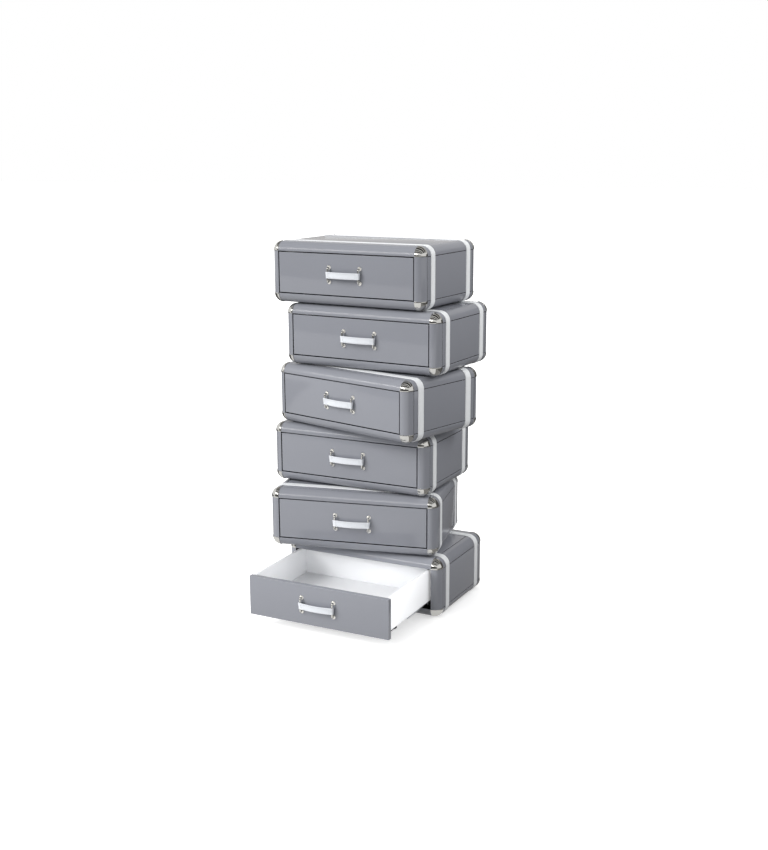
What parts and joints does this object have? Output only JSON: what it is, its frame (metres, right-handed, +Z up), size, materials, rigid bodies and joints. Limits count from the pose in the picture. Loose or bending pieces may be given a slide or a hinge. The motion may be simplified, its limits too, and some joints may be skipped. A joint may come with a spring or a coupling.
{
  "type": "stacked suitcase chest of drawers",
  "caption": "Tall chest of drawers built as a stack of turned suitcase-like lacquered cases, each with a sliding drawer, chrome corner caps, white straps and a band handle.",
  "frame": {"origin": "on the floor under the middle of the lowest case, on the middle floor glide", "axes": "+Z up, -Y out of the lowest case's front, +X to the right seen from the front"},
  "size_m": [0.7399, 0.7619, 1.3219],
  "materials": {
    "grey_lacquer": "gloss grey lacquer",
    "white_lacquer": "satin white lacquer",
    "white_leather": "smooth white leather",
    "chrome_plate": "polished chrome plate",
    "zinc_steel": "bright zinc plate",
    "beech": "planed beech",
    "black_rubber": "matt",
    "nylon": "moulded"
  },
  "bodies": {
    "stack": {"case_1_carcass": "grey_lacquer", "case_1_edge_mouldings": "grey_lacquer", "case_1_straps": "white_leather", "case_2_carcass": "grey_lacquer", "case_2_edge_mouldings": "grey_lacquer", "case_2_straps": "white_leather", "case_3_carcass": "grey_lacquer", "case_3_edge_mouldings": "grey_lacquer", "case_3_straps": "white_leather", "case_4_carcass": "grey_lacquer", "case_4_edge_mouldings": "grey_lacquer", "case_4_straps": "white_leather", "case_5_carcass": "grey_lacquer", "case_5_edge_mouldings": "grey_lacquer", "case_5_straps": "white_leather", "case_6_carcass": "grey_lacquer", "case_6_edge_mouldings": "grey_lacquer", "case_6_straps": "white_leather", "corner_caps": "chrome_plate", "rail_bearers": "beech", "case_rails": "zinc_steel", "stack_bolts": "zinc_steel", "stack_spacers": "black_rubber", "floor_glides": "nylon"},
    "drawer_1": {"drawer_1_front": "grey_lacquer", "drawer_1_box": "white_lacquer", "drawer_1_rails": "zinc_steel", "drawer_1_handle_band": "white_leather", "drawer_1_handle_fittings": "chrome_plate"},
    "middle_runner_1": {"middle_rails_1": "zinc_steel"},
    "drawer_2": {"drawer_2_front": "grey_lacquer", "drawer_2_box": "white_lacquer", "drawer_2_rails": "zinc_steel", "drawer_2_handle_band": "white_leather", "drawer_2_handle_fittings": "chrome_plate"},
    "middle_runner_2": {"middle_rails_2": "zinc_steel"},
    "drawer_3": {"drawer_3_front": "grey_lacquer", "drawer_3_box": "white_lacquer", "drawer_3_rails": "zinc_steel", "drawer_3_handle_band": "white_leather", "drawer_3_handle_fittings": "chrome_plate"},
    "middle_runner_3": {"middle_rails_3": "zinc_steel"},
    "drawer_4": {"drawer_4_front": "grey_lacquer", "drawer_4_box": "white_lacquer", "drawer_4_rails": "zinc_steel", "drawer_4_handle_band": "white_leather", "drawer_4_handle_fittings": "chrome_plate"},
    "middle_runner_4": {"middle_rails_4": "zinc_steel"},
    "drawer_5": {"drawer_5_front": "grey_lacquer", "drawer_5_box": "white_lacquer", "drawer_5_rails": "zinc_steel", "drawer_5_handle_band": "white_leather", "drawer_5_handle_fittings": "chrome_plate"},
    "middle_runner_5": {"middle_rails_5": "zinc_steel"},
    "drawer_6": {"drawer_6_front": "grey_lacquer", "drawer_6_box": "white_lacquer", "drawer_6_rails": "zinc_steel", "drawer_6_handle_band": "white_leather", "drawer_6_handle_fittings": "chrome_plate"},
    "middle_runner_6": {"middle_rails_6": "zinc_steel"}
  },
  "joints": [
    {"name": "drawer_1_slide", "type": "slide", "parent": "stack", "child": "drawer_1", "axis": [0, -1, 0], "range_m": [-0.327, 0.013]},
    {"name": "middle_runner_1_slide", "type": "slide", "parent": "stack", "child": "middle_runner_1", "axis": [0, -1, 0], "range_m": [-0.1635, 0.0065]},
    {"name": "drawer_2_slide", "type": "slide", "parent": "stack", "child": "drawer_2", "axis": [0.2096, -0.9778, 0], "range_m": [0, 0.34]},
    {"name": "middle_runner_2_slide", "type": "slide", "parent": "stack", "child": "middle_runner_2", "axis": [0.2096, -0.9778, 0], "range_m": [0, 0.17]},
    {"name": "drawer_3_slide", "type": "slide", "parent": "stack", "child": "drawer_3", "axis": [0.0035, -1, 0], "range_m": [0, 0.34]},
    {"name": "middle_runner_3_slide", "type": "slide", "parent": "stack", "child": "middle_runner_3", "axis": [0.0035, -1, 0], "range_m": [0, 0.17]},
    {"name": "drawer_4_slide", "type": "slide", "parent": "stack", "child": "drawer_4", "axis": [-0.2504, -0.9681, 0], "range_m": [0, 0.34]},
    {"name": "middle_runner_4_slide", "type": "slide", "parent": "stack", "child": "middle_runner_4", "axis": [-0.2504, -0.9681, 0], "range_m": [0, 0.17]},
    {"name": "drawer_5_slide", "type": "slide", "parent": "stack", "child": "drawer_5", "axis": [-0.0576, -0.9983, 0], "range_m": [0, 0.34]},
    {"name": "middle_runner_5_slide", "type": "slide", "parent": "stack", "child": "middle_runner_5", "axis": [-0.0576, -0.9983, 0], "range_m": [0, 0.17]},
    {"name": "drawer_6_slide", "type": "slide", "parent": "stack", "child": "drawer_6", "axis": [-0.068, -0.9977, 0], "range_m": [0, 0.34]},
    {"name": "middle_runner_6_slide", "type": "slide", "parent": "stack", "child": "middle_runner_6", "axis": [-0.068, -0.9977, 0], "range_m": [0, 0.17]}
  ],
  "couplings": [
    {"joint": "middle_runner_1_slide", "follows": "drawer_1_slide", "ratio": 0.5},
    {"joint": "middle_runner_2_slide", "follows": "drawer_2_slide", "ratio": 0.5},
    {"joint": "middle_runner_3_slide", "follows": "drawer_3_slide", "ratio": 0.5},
    {"joint": "middle_runner_4_slide", "follows": "drawer_4_slide", "ratio": 0.5},
    {"joint": "middle_runner_5_slide", "follows": "drawer_5_slide", "ratio": 0.5},
    {"joint": "middle_runner_6_slide", "follows": "drawer_6_slide", "ratio": 0.5}
  ]
}
